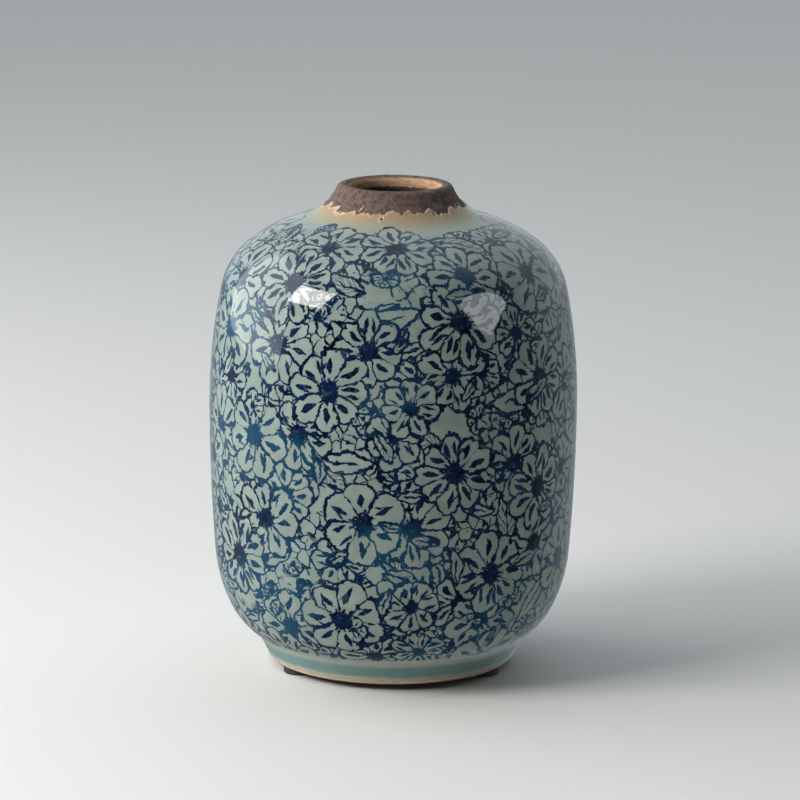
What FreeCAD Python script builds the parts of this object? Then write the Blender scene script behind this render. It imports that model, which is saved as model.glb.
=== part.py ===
import FreeCAD, Part

import math
import os
from collections import namedtuple

import Sketcher

# A thrown stoneware vase with a glaze coat, a liner glaze and three stick-on pads.
# Origin: middle of the base, on the plane that the pads stand on. +Z is up. Millimetres.

# ---------------------------------------------------------------- driving dimensions

# The wall is a run of arcs, each tangent to the next. An angle says where an arc ends:
# it is the tilt of the wall's outward normal, up from level above the widest point and
# down from level below it. Wall sizes are those of the finished, glazed surface.
SIZES = {
    "belly_radius": 82.5,
    "belly_height": 120.4,
    "upper_wall_radius": 260,
    "upper_wall_angle": 11.5,
    "shoulder_radius": 34,
    "shoulder_angle": 55,
    "crown_radius": 70,
    "crown_angle": 74.5,
    "neck_radius": 23.5,
    "lip_radius": 3.3,
    "throat_radius": 19.8,
    "lower_wall_radius": 880,
    "lower_wall_angle": 4.4,
    "haunch_radius": 69,
    "haunch_angle": 25.5,
    "base_turn_radius": 34,
    "base_turn_angle": 57,
    "crease_radius": 2.2,
    "foot_lean": 27.5,
    "recess_radius": 38,
    "recess_depth": 4,
    "recess_draft": 2,
    "wall_thickness": 6,
    "inner_neck_radius": 34,
    "glaze_thickness": 0.5,
    "glaze_neck_angle": 46,
    "bare_foot_height": 1.6,
    "liner_thickness": 0.4,
    "liner_neck_angle": 32,
    "pad_radius": 7.5,
    "pad_thickness": 2.8,
    "pad_edge_radius": 0.6,
    "pad_ring_radius": 47,
    "adhesive_radius": 7.1,
    "adhesive_thickness": 0.2,
}

# The pads stand at thirds of a turn: their bearing from +X, in degrees.
PAD_BEARINGS = {"left": 210, "right": 330, "back": 90}

# low and high are the sheet's names for the normal's tilt at the arc's two ends, or None
# where it is level.
WallArc = namedtuple("WallArc", "name low high")

UPPER_ARCS = (
    WallArc("upper_wall", None, "upper_wall_angle"),
    WallArc("shoulder", "upper_wall_angle", "shoulder_angle"),
    WallArc("crown", "shoulder_angle", "crown_angle"),
)
LOWER_ARCS = (
    WallArc("lower_wall", None, "lower_wall_angle"),
    WallArc("haunch", "lower_wall_angle", "haunch_angle"),
    WallArc("base_turn", "haunch_angle", "base_turn_angle"),
)

ORIGIN_POINT = (-1, 1)
VERTICAL_AXIS = -2
START, END, CENTRE = 1, 2, 3


# ---------------------------------------------------------------- document helpers

def make_sheet(doc):
    """Put every driving dimension in a spreadsheet cell with its name as alias."""
    sheet = doc.addObject("Spreadsheet::Sheet", "Dimensions")
    for row, (name, value) in enumerate(SIZES.items(), start=1):
        sheet.set(f"A{row}", name)
        sheet.set(f"B{row}", str(value))
        sheet.setAlias(f"B{row}", name)
    doc.recompute()
    return sheet


def cell(name):
    """The expression that reads one dimension."""
    return f"Dimensions.{name}"


def plane_of(body, role):
    """One of the body's own origin planes."""
    return next(f for f in body.Origin.OriginFeatures if f.Role == role)


def new_body(doc, label):
    """An empty body whose label is the node's name."""
    body = doc.addObject("PartDesign::Body", label)
    body.Label = label
    return body


def new_sketch(body, name, role):
    """A sketch on one of the body's origin planes."""
    sketch = body.newObject("Sketcher::SketchObject", name)
    sketch.AttachmentSupport = [(plane_of(body, role), "")]
    sketch.MapMode = "FlatFace"
    return sketch


def bind(sketch, constraint, expression):
    """Add a constraint with a size and bind the size to the sheet."""
    index = sketch.addConstraint(constraint)
    sketch.setExpression(f"Constraints[{index}]", expression)
    return index


def revolve(body, sketch):
    """Turn a section through a full circle about the vertical axis."""
    turned = body.newObject("PartDesign::Revolution", sketch.Name + "_turned")
    turned.Profile = sketch
    turned.ReferenceAxis = (sketch, ["V_Axis"])
    turned.Angle = 360
    sketch.Visibility = False
    body.Tip = turned
    return turned


# ---------------------------------------------------------------- the wall line

def towards(tilt):
    """Unit vector in the section plane at a tilt in radians above level."""
    return FreeCAD.Vector(math.cos(tilt), math.sin(tilt), 0)


def tilt_of(name, sign):
    """The tilt of the wall's normal in radians, positive above the widest point."""
    return 0.0 if name is None else sign * math.radians(SIZES[name])


class WallLine:
    """The wall's section at one depth below the glazed surface, drawn in a sketch.

    Arcs that bulge lose the depth from their radius and hollow ones gain it, so lines
    at two depths run parallel all the way.
    """

    neck_name = "neck_radius"
    neck_surface = ()

    def __init__(self, sketch, layers):
        self.sketch = sketch
        self.layers = layers
        self.depth = sum(SIZES[layer] for layer in layers)
        self.arcs = {}
        self.centres = {}
        self.draw_from_widest(UPPER_ARCS, 1)
        self.draw_from_widest(LOWER_ARCS, -1)
        self.fix_widest_point()

    def at_depth(self, name, sign):
        """The expression for a size with the depth added or taken away."""
        return cell(name) + "".join(f" {sign} {cell(layer)}" for layer in self.layers)

    def add_line(self, start, end):
        """Add a straight line."""
        return self.sketch.addGeometry(Part.LineSegment(start, end), False)

    def add_arc(self, name, centre, radius, first, last):
        """Add an arc of a circle that runs anticlockwise between two angles."""
        circle = Part.Circle(centre, FreeCAD.Vector(0, 0, 1), radius)
        arc = self.sketch.addGeometry(Part.ArcOfCircle(circle, first, last), False)
        self.arcs[name] = arc
        self.centres[name] = centre
        return arc

    def join(self, first, first_end, second, second_end):
        """Make two edges meet end to end with one tangent."""
        self.sketch.addConstraint(
            Sketcher.Constraint("Tangent", first, first_end, second, second_end))

    def draw_from_widest(self, arcs, sign):
        """Draw the bulging arcs on one side of the widest point, each tangent to the last."""
        radius = SIZES[arcs[0].name + "_radius"]
        centre = FreeCAD.Vector(SIZES["belly_radius"] - radius, SIZES["belly_height"], 0)
        near, far = (END, START) if sign > 0 else (START, END)
        for number, arc in enumerate(arcs):
            before, radius = radius, SIZES[arc.name + "_radius"]
            centre = centre + towards(tilt_of(arc.low, sign)) * (before - radius)
            self.draw_bulge(arc, centre, sign)
            if number:
                self.join(self.arcs[arcs[number - 1].name], near, self.arcs[arc.name], far)

    def draw_bulge(self, arc, centre, sign):
        """Draw one bulging arc with its radius and its span bound to the sheet."""
        radius = SIZES[arc.name + "_radius"] - self.depth
        first, last = sorted((tilt_of(arc.low, sign), tilt_of(arc.high, sign)))
        edge = self.add_arc(arc.name, centre, radius, first, last)
        bind(self.sketch, Sketcher.Constraint("Radius", edge, radius),
             self.at_depth(arc.name + "_radius", "-"))
        span = f"{cell(arc.high)} - {cell(arc.low)}" if arc.low else cell(arc.high)
        bind(self.sketch, Sketcher.Constraint("Angle", edge, last - first), span)

    def fix_widest_point(self):
        """Hold the widest point in place, with its normal level."""
        upper = self.arcs["upper_wall"]
        self.join(self.arcs["lower_wall"], END, upper, START)
        self.sketch.addConstraint(Sketcher.Constraint("Horizontal", upper, START, upper, CENTRE))
        across = SIZES["belly_radius"] - self.depth
        up = SIZES["belly_height"]
        bind(self.sketch, Sketcher.Constraint("DistanceX", *ORIGIN_POINT, upper, START, across),
             self.at_depth("belly_radius", "-"))
        bind(self.sketch, Sketcher.Constraint("DistanceY", *ORIGIN_POINT, upper, START, up),
             cell("belly_height"))

    def neck_circle(self):
        """Centre and radius of the hollow arc that carries on from the crown."""
        tilt = tilt_of("crown_angle", 1)
        edge = self.centres["crown"] + towards(tilt) * (SIZES["crown_radius"] - self.depth)
        radius = SIZES[self.neck_name] + self.depth - sum(SIZES[n] for n in self.neck_surface)
        return edge + towards(tilt) * radius, radius

    def add_neck(self, last_tilt, last_name=None):
        """Carry the crown on into the hollow neck, up to a tilt of the normal.

        With a name the tilt is bound to the sheet. Without one it is left to what the neck
        meets next.
        """
        first_tilt = tilt_of("crown_angle", 1)
        centre, radius = self.neck_circle()
        neck = self.add_arc("neck", centre, radius, last_tilt + math.pi, first_tilt + math.pi)
        self.join(self.arcs["crown"], END, neck, END)
        back = "".join(f" - {cell(layer)}" for layer in self.neck_surface)
        bind(self.sketch, Sketcher.Constraint("Radius", neck, radius),
             self.at_depth(self.neck_name, "+") + back)
        if last_name:
            bind(self.sketch, Sketcher.Constraint("Angle", neck, first_tilt - last_tilt),
                 f"{cell('crown_angle')} - {cell(last_name)}")
        return neck

    def add_foot(self, bottom_height):
        """Carry the base turn on into the crease and the leaning side of the foot."""
        turn, lean = tilt_of("base_turn_angle", -1), tilt_of("foot_lean", -1)
        radius = SIZES["crease_radius"] + self.depth
        reach = SIZES["base_turn_radius"] - self.depth + radius
        centre = self.centres["base_turn"] + towards(turn) * reach
        crease = self.add_arc("crease", centre, radius, turn + math.pi, lean + math.pi)
        self.join(self.arcs["base_turn"], START, crease, START)
        bind(self.sketch, Sketcher.Constraint("Radius", crease, radius),
             self.at_depth("crease_radius", "+"))
        bind(self.sketch, Sketcher.Constraint("Angle", crease, lean - turn),
             f"{cell('base_turn_angle')} - {cell('foot_lean')}")
        top = centre - towards(lean) * radius
        slope = towards(lean + math.pi / 2)
        bottom = top - slope * ((top.y - bottom_height) / slope.y)
        side = self.add_line(bottom, top)
        self.join(crease, END, side, END)
        return side, bottom


class CavityLine(WallLine):
    """A wall line inside the pot: its base turn runs on until it is the level floor."""

    neck_name = "inner_neck_radius"
    neck_surface = ("glaze_thickness", "wall_thickness")

    def draw_bulge(self, arc, centre, sign):
        """Draw the base turn on down to level, and the other arcs as on the outside."""
        if arc.name != "base_turn":
            super().draw_bulge(arc, centre, sign)
            return
        radius = SIZES["base_turn_radius"] - self.depth
        level, last = -math.pi / 2, tilt_of(arc.low, sign)
        edge = self.add_arc(arc.name, centre, radius, level, last)
        bind(self.sketch, Sketcher.Constraint("Radius", edge, radius),
             self.at_depth("base_turn_radius", "-"))
        bind(self.sketch, Sketcher.Constraint("Angle", edge, last - level),
             f"90 - {cell(arc.low)}")

    def add_floor(self):
        """Carry the base turn on as the floor, and the floor in to the axis."""
        centre = self.centres["base_turn"]
        height = centre.y - SIZES["base_turn_radius"] + self.depth
        middle = FreeCAD.Vector(0, height, 0)
        floor = self.add_line(middle, FreeCAD.Vector(centre.x, height, 0))
        self.join(self.arcs["base_turn"], START, floor, END)
        self.sketch.addConstraint(
            Sketcher.Constraint("PointOnObject", floor, START, VERTICAL_AXIS))
        return floor, middle


# ---------------------------------------------------------------- clay

FOOT_TEXT = f"{cell('pad_thickness')} + {cell('adhesive_thickness')}"


def foot_height():
    """Height of the clay's underside over the plane that the pads stand on."""
    return SIZES["pad_thickness"] + SIZES["adhesive_thickness"]


def make_clay(doc):
    """The fired clay: foot, wall, neck, lip and cavity, turned as one section."""
    body = new_body(doc, "clay_body")
    sketch = new_sketch(body, "clay_section", "XZ_Plane")

    outside = WallLine(sketch, ["glaze_thickness"])
    side, foot_edge = outside.add_foot(foot_height())
    inside = CavityLine(sketch, ["glaze_thickness", "wall_thickness"])
    floor, floor_middle = inside.add_floor()

    add_mouth(sketch, outside, inside)
    add_underside(sketch, outside, side, foot_edge, floor, floor_middle)
    revolve(body, sketch)
    return body


def add_mouth(sketch, outside, inside):
    """Round the neck over as the lip, drop the straight throat, and meet the cavity."""
    throat_radius, lip_radius = SIZES["throat_radius"], SIZES["lip_radius"]
    centre, radius = outside.neck_circle()
    lip_tilt = math.acos((centre.x - throat_radius - lip_radius) / (radius + lip_radius))
    neck = outside.add_neck(lip_tilt)
    lip_centre = centre - towards(lip_tilt) * (radius + lip_radius)
    lip = outside.add_arc("lip", lip_centre, lip_radius, lip_tilt, math.pi)
    outside.join(neck, START, lip, START)
    bind(sketch, Sketcher.Constraint("Radius", lip, lip_radius), cell("lip_radius"))

    centre, radius = inside.neck_circle()
    inner_neck = inside.add_neck(math.acos((centre.x - throat_radius) / radius))
    throat = inside.add_line(sketch.getPoint(inner_neck, START), sketch.getPoint(lip, END))
    outside.join(lip, END, throat, END)
    sketch.addConstraint(Sketcher.Constraint("Vertical", throat))
    sketch.addConstraint(Sketcher.Constraint("Coincident", inner_neck, START, throat, START))
    bind(sketch, Sketcher.Constraint("DistanceX", *ORIGIN_POINT, throat, START, throat_radius),
         cell("throat_radius"))


def add_underside(sketch, wall, side, foot_edge, floor, floor_middle):
    """Close the section under the pot: the foot ring's face, the recess and the axis."""
    low = foot_height()
    high = low + SIZES["recess_depth"]
    roof_radius = SIZES["recess_radius"] - SIZES["recess_draft"]
    corners = [
        foot_edge,
        FreeCAD.Vector(SIZES["recess_radius"], low, 0),
        FreeCAD.Vector(roof_radius, high, 0),
        FreeCAD.Vector(0, high, 0),
        floor_middle,
    ]
    face, draft, roof, axis = (wall.add_line(*ends) for ends in zip(corners, corners[1:]))
    for first, end, second in (
        (side, START, face), (face, END, draft), (draft, END, roof), (roof, END, axis),
    ):
        sketch.addConstraint(Sketcher.Constraint("Coincident", first, end, second, START))
    sketch.addConstraint(Sketcher.Constraint("Coincident", axis, END, floor, START))
    sketch.addConstraint(Sketcher.Constraint("Horizontal", face))
    sketch.addConstraint(Sketcher.Constraint("Horizontal", roof))
    sketch.addConstraint(Sketcher.Constraint("Vertical", axis))
    bind(sketch, Sketcher.Constraint("DistanceY", *ORIGIN_POINT, side, START, low), FOOT_TEXT)
    bind(sketch, Sketcher.Constraint("DistanceX", *ORIGIN_POINT, face, END, corners[1].x),
         cell("recess_radius"))
    bind(sketch, Sketcher.Constraint("DistanceX", *ORIGIN_POINT, roof, START, roof_radius),
         f"{cell('recess_radius')} - {cell('recess_draft')}")
    bind(sketch, Sketcher.Constraint("DistanceY", *ORIGIN_POINT, roof, START, high),
         f"{FOOT_TEXT} + {cell('recess_depth')}")


# ---------------------------------------------------------------- glazes

def close_section(sketch, wall, first, second, joint="Coincident"):
    """Join the starts of two edges with a line, which a joint may hold square."""
    line = wall.add_line(sketch.getPoint(first, START), sketch.getPoint(second, START))
    sketch.addConstraint(Sketcher.Constraint(joint, first, START, line, START))
    sketch.addConstraint(Sketcher.Constraint("Coincident", second, START, line, END))


def make_outer_glaze(doc):
    """The glaze coat outside, from just above the foot's face to part way up the neck."""
    body = new_body(doc, "outer_glaze")
    sketch = new_sketch(body, "outer_glaze_section", "XZ_Plane")
    last = tilt_of("glaze_neck_angle", 1)
    bottom = foot_height() + SIZES["bare_foot_height"]

    surface = WallLine(sketch, [])
    side, _ = surface.add_foot(bottom)
    bind(sketch, Sketcher.Constraint("DistanceY", *ORIGIN_POINT, side, START, bottom),
         f"{FOOT_TEXT} + {cell('bare_foot_height')}")
    neck = surface.add_neck(last, "glaze_neck_angle")

    against_clay = WallLine(sketch, ["glaze_thickness"])
    clay_side, _ = against_clay.add_foot(bottom)
    clay_neck = against_clay.add_neck(last, "glaze_neck_angle")

    close_section(sketch, surface, side, clay_side, "Perpendicular")
    close_section(sketch, surface, neck, clay_neck)
    revolve(body, sketch)
    return body


def make_inner_glaze(doc):
    """The liner glaze inside, over the floor and the wall and up under the throat."""
    body = new_body(doc, "inner_glaze")
    sketch = new_sketch(body, "inner_glaze_section", "XZ_Plane")
    last = tilt_of("liner_neck_angle", 1)
    edges = []
    for layers in (
        ["glaze_thickness", "wall_thickness"],
        ["glaze_thickness", "wall_thickness", "liner_thickness"],
    ):
        line = CavityLine(sketch, layers)
        neck = line.add_neck(last, "liner_neck_angle")
        floor, _ = line.add_floor()
        edges.append((neck, floor))
    (clay_neck, clay_floor), (open_neck, open_floor) = edges
    close_section(sketch, line, clay_neck, open_neck)
    close_section(sketch, line, clay_floor, open_floor)
    revolve(body, sketch)
    return body


# ---------------------------------------------------------------- pads

def place_at_bearing(body, side, height_text):
    """Set a round piece on the ring of pads, at its own bearing and height."""
    bearing = PAD_BEARINGS[side]
    body.setExpression("Placement.Base.x", f"{cell('pad_ring_radius')} * cos({bearing} deg)")
    body.setExpression("Placement.Base.y", f"{cell('pad_ring_radius')} * sin({bearing} deg)")
    body.setExpression("Placement.Base.z", height_text)


def make_disc(doc, label, radius_name, thickness_name):
    """A round disc on its own origin."""
    body = new_body(doc, label)
    sketch = new_sketch(body, label + "_circle", "XY_Plane")
    radius = SIZES[radius_name]
    circle = sketch.addGeometry(
        Part.Circle(FreeCAD.Vector(0, 0, 0), FreeCAD.Vector(0, 0, 1), radius), False)
    sketch.addConstraint(Sketcher.Constraint("Coincident", circle, CENTRE, *ORIGIN_POINT))
    bind(sketch, Sketcher.Constraint("Radius", circle, radius), cell(radius_name))
    disc = body.newObject("PartDesign::Pad", label + "_disc")
    disc.Profile = sketch
    disc.setExpression("Length", cell(thickness_name))
    sketch.Visibility = False
    doc.recompute()
    return body, disc


def lowest_edge(shape):
    """Name of the round edge at the bottom of a disc."""
    edges = enumerate(shape.Edges, start=1)
    rims = [(edge.CenterOfMass.z, index) for index, edge in edges if edge.isClosed()]
    return f"Edge{min(rims)[1]}"


def make_foot_pad(doc, side):
    """A rubber pad with its lower edge eased."""
    label = f"foot_pad_{side}"
    body, disc = make_disc(doc, label, "pad_radius", "pad_thickness")
    eased = body.newObject("PartDesign::Fillet", label + "_edge")
    eased.Base = (disc, [lowest_edge(disc.Shape)])
    eased.setExpression("Radius", cell("pad_edge_radius"))
    place_at_bearing(body, side, "0")
    return body


def make_adhesive(doc, side):
    """The film of adhesive between a pad and the foot ring."""
    body, _ = make_disc(doc, f"pad_adhesive_{side}", "adhesive_radius", "adhesive_thickness")
    place_at_bearing(body, side, cell("pad_thickness"))
    return body


# ---------------------------------------------------------------- build and write

def check(doc, bodies):
    """Stop if any object failed or any sub-part isn't one valid solid."""
    for item in doc.Objects:
        if {"Invalid", "Error"} & set(item.State):
            raise RuntimeError(f"{item.Label} did not compute: {item.State}")
    for body in bodies:
        shape = body.Shape
        if shape.isNull() or not shape.isValid() or len(shape.Solids) != 1:
            raise RuntimeError(f"{body.Label} is not one valid solid")


def main():
    doc = FreeCAD.newDocument("vase")
    make_sheet(doc)
    bodies = [make_clay(doc), make_outer_glaze(doc), make_inner_glaze(doc)]
    for side in PAD_BEARINGS:
        bodies.append(make_foot_pad(doc, side))
        bodies.append(make_adhesive(doc, side))
    doc.recompute()
    check(doc, bodies)

    os.makedirs("parts", exist_ok=True)
    for body in bodies:
        body.Shape.exportStep(f"parts/{body.Label}.step")
        box = body.Shape.optimalBoundingBox(False, False)
        print(f"{body.Label}: {body.Shape.Volume / 1000:.2f} cm3,"
              f" z {box.ZMin:.2f} to {box.ZMax:.2f}, across {box.XLength:.2f}")


main()
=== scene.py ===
"""A thrown stoneware vase: bare neck, celadon glaze over a line print of daisies, stick-on pads."""

from __future__ import annotations

import logging
import math
from dataclasses import dataclass, field
from enum import Enum

import bpy
import numpy as np
from mathutils import Matrix, Vector


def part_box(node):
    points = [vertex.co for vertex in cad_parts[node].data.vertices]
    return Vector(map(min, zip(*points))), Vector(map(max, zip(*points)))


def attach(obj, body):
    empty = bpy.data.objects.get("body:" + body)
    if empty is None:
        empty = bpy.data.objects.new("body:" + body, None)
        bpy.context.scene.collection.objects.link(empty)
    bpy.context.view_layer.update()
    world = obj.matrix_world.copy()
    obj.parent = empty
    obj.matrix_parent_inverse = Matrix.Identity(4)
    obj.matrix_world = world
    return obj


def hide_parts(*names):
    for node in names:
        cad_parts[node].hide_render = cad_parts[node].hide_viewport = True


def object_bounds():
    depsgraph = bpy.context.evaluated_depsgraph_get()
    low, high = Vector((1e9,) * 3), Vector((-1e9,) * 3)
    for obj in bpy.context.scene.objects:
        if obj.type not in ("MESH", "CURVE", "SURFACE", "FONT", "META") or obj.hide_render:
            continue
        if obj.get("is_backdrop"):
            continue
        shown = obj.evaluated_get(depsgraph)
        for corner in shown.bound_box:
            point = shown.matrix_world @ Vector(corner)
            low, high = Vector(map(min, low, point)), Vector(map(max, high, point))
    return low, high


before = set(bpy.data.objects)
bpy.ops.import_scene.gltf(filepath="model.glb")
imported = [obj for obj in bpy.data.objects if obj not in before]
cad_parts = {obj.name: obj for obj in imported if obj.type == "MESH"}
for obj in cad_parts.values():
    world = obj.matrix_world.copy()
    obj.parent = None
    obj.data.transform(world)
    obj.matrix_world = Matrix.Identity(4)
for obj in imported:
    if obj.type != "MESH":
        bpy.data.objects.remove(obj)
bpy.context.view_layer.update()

MM = 0.001
WELD = 2e-6
BATCH = 8192
LOG = logging.getLogger("vase")


# ---------------------------------------------------------------- node sums


class Term:
    """A number on a node socket that can be added, multiplied and compared."""

    def __init__(self, socket: bpy.types.NodeSocket) -> None:
        """Hold the socket that carries the number."""
        self.socket = socket

    def _sum(self, kind: str, *terms: Term | float) -> Term:
        """Add one Math node.

        Args:
            kind: the node's operation.
            terms: its inputs, in order.

        Returns:
            The result.
        """
        node = self.socket.id_data.nodes.new("ShaderNodeMath")
        node.operation = kind
        for slot, term in zip(node.inputs, terms):
            feed(slot, term)
        return Term(node.outputs[0])

    def __add__(self, other: Term | float) -> Term:
        """Return self + other."""
        return self._sum("ADD", self, other)

    __radd__ = __add__

    def __sub__(self, other: Term | float) -> Term:
        """Return self - other."""
        return self._sum("SUBTRACT", self, other)

    def __rsub__(self, other: float) -> Term:
        """Return other - self."""
        return self._sum("SUBTRACT", other, self)

    def __mul__(self, other: Term | float) -> Term:
        """Return self * other."""
        return self._sum("MULTIPLY", self, other)

    __rmul__ = __mul__

    def __truediv__(self, other: Term | float) -> Term:
        """Return self / other."""
        return self._sum("DIVIDE", self, other)

    def __rtruediv__(self, other: float) -> Term:
        """Return other / self."""
        return self._sum("DIVIDE", other, self)

    def least(self, other: Term | float) -> Term:
        """Return the smaller of the two."""
        return self._sum("MINIMUM", self, other)

    def most(self, other: Term | float) -> Term:
        """Return the larger of the two."""
        return self._sum("MAXIMUM", self, other)

    def above(self, other: Term | float) -> Term:
        """Return 1 where self is above other, and 0 elsewhere."""
        return self._sum("GREATER_THAN", self, other)

    def do(self, kind: str) -> Term:
        """Return a one-input operation of the number, such as COSINE."""
        return self._sum(kind, self)

    def turned_from(self, other: Term) -> Term:
        """Return the angle whose tangent is self / other."""
        return self._sum("ARCTAN2", self, other)

    def ramp(self, start: Term | float, end: Term | float) -> Term:
        """Return a soft step from 0 at start to 1 at end."""
        node = self.socket.id_data.nodes.new("ShaderNodeMapRange")
        node.interpolation_type = "SMOOTHSTEP"
        for slot, term in zip(node.inputs, (self, start, end)):
            feed(slot, term)
        return Term(node.outputs[0])

    def towards(self, other: Term | float, share: Term) -> Term:
        """Return a mix that is self at share 0 and other at share 1."""
        return self + (other - self) * share


def feed(slot: bpy.types.NodeSocket, value: Term | float | tuple[float, ...]) -> None:
    """Give an input socket its value: a link for a Term, a constant for a number or colour."""
    if isinstance(value, Term):
        slot.id_data.links.new(value.socket, slot)
    elif isinstance(value, tuple) and len(slot.default_value) == 4:
        slot.default_value = (*value, 1.0)
    else:
        slot.default_value = value


def split(vector: Term) -> tuple[Term, Term, Term]:
    """Return a vector's three parts."""
    node = vector.socket.id_data.nodes.new("ShaderNodeSeparateXYZ")
    feed(node.inputs[0], vector)
    return tuple(Term(out) for out in node.outputs)


def split_colour(colour: Term) -> tuple[Term, Term, Term]:
    """Return a colour's three parts."""
    node = colour.socket.id_data.nodes.new("ShaderNodeSeparateColor")
    feed(node.inputs[0], colour)
    return tuple(Term(out) for out in node.outputs)


def joined(tree: bpy.types.NodeTree, *parts: Term | float) -> Term:
    """Return a vector made of three parts."""
    node = tree.nodes.new("ShaderNodeCombineXYZ")
    for slot, part in zip(node.inputs, parts):
        feed(slot, part)
    return Term(node.outputs[0])


def place_mm(tree: bpy.types.NodeTree) -> Term:
    """Return the point being shaded, in the piece's own coordinates, in millimetres."""
    spot = tree.nodes.new("ShaderNodeTexCoord")
    scaled = tree.nodes.new("ShaderNodeVectorMath")
    scaled.operation = "SCALE"
    tree.links.new(spot.outputs["Object"], scaled.inputs[0])
    scaled.inputs["Scale"].default_value = 1 / MM
    return Term(scaled.outputs[0])


def cloud(spot: Term, size: float, detail: float = 2.0, rough: float = 0.5) -> Term:
    """Return soft noise from 0 to 1 about a middle of 0.5.

    Args:
        spot: where it is read, in millimetres.
        size: the width of a blotch in millimetres.
        detail: how many finer octaves it has.
        rough: how strong each finer octave is.

    Returns:
        The noise's value.
    """
    node = spot.socket.id_data.nodes.new("ShaderNodeTexNoise")
    feed(node.inputs["Vector"], spot)
    node.inputs["Scale"].default_value = 1 / size
    node.inputs["Detail"].default_value = detail
    node.inputs["Roughness"].default_value = rough
    return Term(node.outputs["Fac"])


def cloud_pair(spot: Term, size: float) -> tuple[Term, Term]:
    """Return two soft noises about 0.5 from one node, with blotches of that size in mm."""
    made = cloud(spot, size, 1.0)
    return split_colour(Term(made.socket.node.outputs["Color"]))[:2]


def cells(spot: Term, size: float, feature: str = "F1") -> Term:
    """Return the distance of a cell pattern, in cell widths.

    Args:
        spot: where it is read, in millimetres.
        size: the width of a cell in millimetres.
        feature: F1 for the distance to a cell's seed, DISTANCE_TO_EDGE for that to its border.

    Returns:
        The distance.
    """
    node = spot.socket.id_data.nodes.new("ShaderNodeTexVoronoi")
    node.feature = feature
    feed(node.inputs["Vector"], spot)
    node.inputs["Scale"].default_value = 1 / size
    return Term(node.outputs["Distance"])


Colour = tuple[float, float, float]


def blend(share: Term, low: Term | Colour, high: Term | Colour) -> Term:
    """Return a colour that is low at share 0 and high at share 1."""
    node = share.socket.id_data.nodes.new("ShaderNodeMix")
    node.data_type = "RGBA"
    feed(node.inputs["Factor"], share)
    feed(node.inputs[6], low)
    feed(node.inputs[7], high)
    return Term(node.outputs[2])


class Group:
    """A shader node group with named inputs and outputs, built once and placed by name."""

    def __init__(self, name: str, inputs: dict[str, str], outputs: dict[str, str]) -> None:
        """Make the group's sockets.

        Args:
            name: the group's name.
            inputs: socket name to socket type.
            outputs: socket name to socket type.
        """
        self.tree = bpy.data.node_groups.new(name, "ShaderNodeTree")
        for label, kind in inputs.items():
            self.tree.interface.new_socket(label, in_out="INPUT", socket_type=kind)
        for label, kind in outputs.items():
            self.tree.interface.new_socket(label, in_out="OUTPUT", socket_type=kind)
        self.entry = self.tree.nodes.new("NodeGroupInput")
        self.exit = self.tree.nodes.new("NodeGroupOutput")

    def given(self, label: str) -> Term:
        """Return an input as a term."""
        return Term(self.entry.outputs[label])

    def give(self, label: str, value: Term) -> None:
        """Send a term to an output."""
        feed(self.exit.inputs[label], value)

    def placed(self, tree: bpy.types.NodeTree, **values: Term | float) -> dict[str, Term]:
        """Place the group in a tree.

        Args:
            tree: where it goes.
            values: input name to value.

        Returns:
            Output name to term.
        """
        node = tree.nodes.new("ShaderNodeGroup")
        node.node_tree = self.tree
        for label, value in values.items():
            feed(node.inputs[label], value)
        return {out.name: Term(out) for out in node.outputs}


class Finish:
    """A material with one Principled shader, and the ways its maker fills it."""

    def __init__(self, name: str, **fixed: float) -> None:
        """Make the material.

        Args:
            name: the material's name.
            fixed: values that are the same all over, set on the shader's own sockets.
        """
        self.material = bpy.data.materials.new(name)
        self.material.use_nodes = True
        self.tree = self.material.node_tree
        self.shader = self.tree.nodes["Principled BSDF"]
        for label, value in fixed.items():
            self.shader.inputs[label.replace("_", " ")].default_value = value

    def paint(self, label: str, value: Term) -> None:
        """Link a value that changes over the surface to one of the shader's sockets."""
        feed(self.shader.inputs[label], value)

    def relief(self, height: Term, depth: float, strength: float = 1.0) -> None:
        """Bump the surface.

        Args:
            height: from 0 to 1.
            depth: how deep 1 is, in metres.
            strength: the share of the bump that shows.
        """
        bump = self.tree.nodes.new("ShaderNodeBump")
        bump.inputs["Distance"].default_value = depth
        bump.inputs["Strength"].default_value = strength
        feed(bump.inputs["Height"], height)
        self.tree.links.new(bump.outputs[0], self.shader.inputs["Normal"])

    def dress(self, piece: bpy.types.Object) -> None:
        """Put the material on a piece, in place of what it has."""
        if piece.material_slots:
            piece.material_slots[0].material = self.material
        else:
            piece.data.materials.append(self.material)


# ---------------------------------------------------------------- the wall line


@dataclass(frozen=True)
class WallArc:
    """One arc of the wall line, in the plane of radius and height.

    turn is +1 where the wall bulges and -1 where it is hollow. start and end are the tilts of
    the wall's outward normal, in radians above level.
    """

    radius: float
    height: float
    size: float
    start: float
    end: float
    turn: int = 1

    def points(self, step: float, inset: float = 0.0) -> np.ndarray:
        """Sample the arc.

        Args:
            step: the longest gap between points.
            inset: how far the points lie under the glazed surface.

        Returns:
            Rows of radius, height, and the normal's two parts.
        """
        count = max(2, math.ceil(abs(self.end - self.start) * self.size / step) + 1)
        tilt = np.linspace(self.start, self.end, count)
        out = np.column_stack([np.cos(tilt), np.sin(tilt)])
        reach = self.size * self.turn - inset
        middle = np.array([self.radius, self.height])
        return np.column_stack([middle + reach * out, out])


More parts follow.
